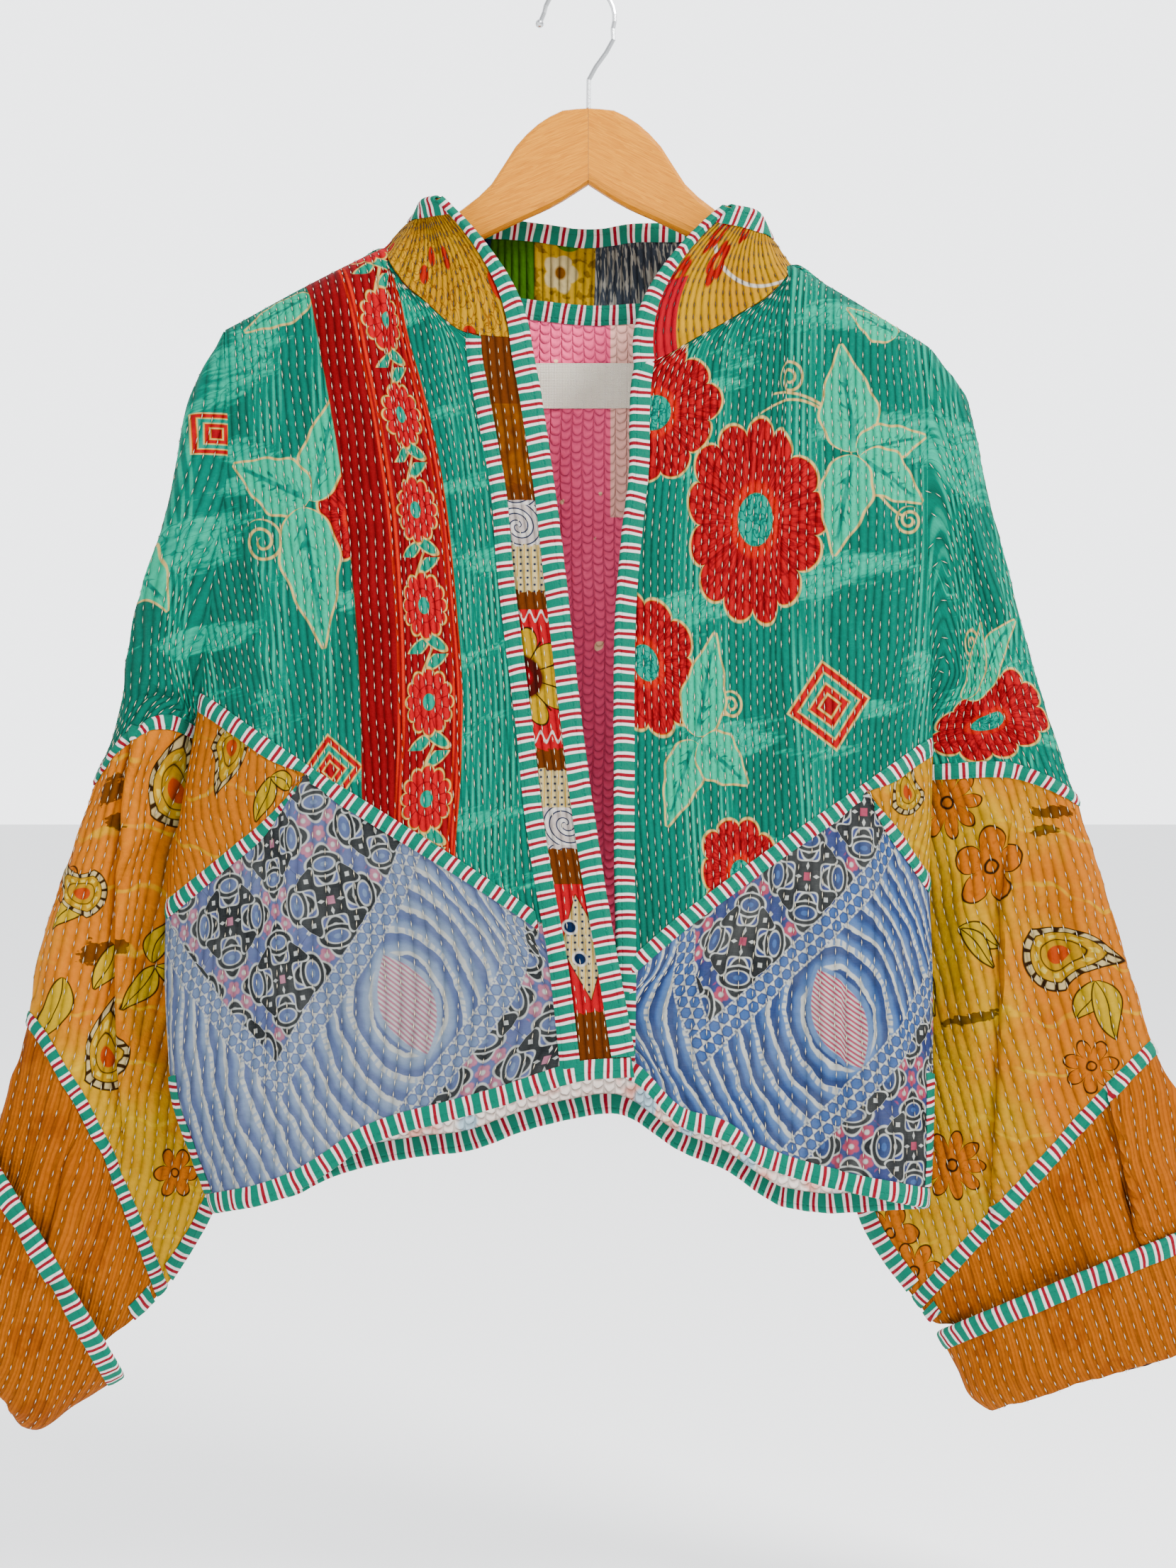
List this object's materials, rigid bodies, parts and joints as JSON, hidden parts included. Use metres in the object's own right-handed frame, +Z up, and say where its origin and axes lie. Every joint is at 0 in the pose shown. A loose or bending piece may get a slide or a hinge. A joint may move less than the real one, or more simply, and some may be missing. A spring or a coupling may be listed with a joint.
{
  "type": "kantha jacket on hanger",
  "caption": "Open-front quilted patchwork jacket with a standing collar and turned-back sleeve ends, hanging on a wooden hanger with a wire hook.",
  "frame": {"origin": "inside of the hook's crown, where the hanger is held", "axes": "+X to the right as seen from the front, +Y to the back, +Z up"},
  "size_m": [0.8493, 0.118, 0.9052],
  "materials": {
    "green_print": "quilted printed cotton",
    "blue_print": "quilted printed cotton",
    "orange_print": "quilted printed cotton",
    "plain_orange": "quilted cotton",
    "patched_band": "printed cotton patches",
    "collar_print": "quilted printed cotton",
    "pink_cotton": "quilted cotton",
    "label_cotton": "plain cotton",
    "varnished_wood": "clear varnish",
    "steel": "bright",
    "striped_binding": "striped cotton tape"
  },
  "bodies": {
    "root": {"front_left_upper": "green_print", "front_right_upper": "green_print", "sleeve_left_upper": "green_print", "sleeve_right_upper": "green_print", "front_left_lower": "blue_print", "front_right_lower": "blue_print", "front_left_side": "orange_print", "front_right_side": "orange_print", "sleeve_left_middle": "orange_print", "sleeve_right_middle": "orange_print", "sleeve_left_lower": "plain_orange", "sleeve_right_lower": "plain_orange", "sleeve_left_cuff": "plain_orange", "sleeve_right_cuff": "plain_orange", "placket_band": "patched_band", "collar": "collar_print", "back": "pink_cotton", "label": "label_cotton", "hanger_wood_left": "varnished_wood", "hanger_wood_right": "varnished_wood", "hanger_hook": "steel", "binding_left_front_edge": "striped_binding", "binding_left_diagonal": "striped_binding", "binding_left_small": "striped_binding", "binding_left_hem": "striped_binding", "binding_left_slit": "striped_binding", "binding_sleeve_left_top": "striped_binding", "binding_sleeve_left_middle": "striped_binding", "binding_cuff_left": "striped_binding", "binding_underarm_left": "striped_binding", "binding_underarm_low_left": "striped_binding", "binding_back_slit_left": "striped_binding", "binding_right_front_edge": "striped_binding", "binding_right_diagonal": "striped_binding", "binding_right_small": "striped_binding", "binding_right_hem": "striped_binding", "binding_right_slit": "striped_binding", "binding_sleeve_right_top": "striped_binding", "binding_sleeve_right_middle": "striped_binding", "binding_cuff_right": "striped_binding", "binding_underarm_right": "striped_binding", "binding_underarm_low_right": "striped_binding", "binding_back_slit_right": "striped_binding", "binding_placket": "striped_binding", "binding_back_hem": "striped_binding", "binding_collar_top": "striped_binding", "binding_neck_inside": "striped_binding"}
  },
  "joints": []
}
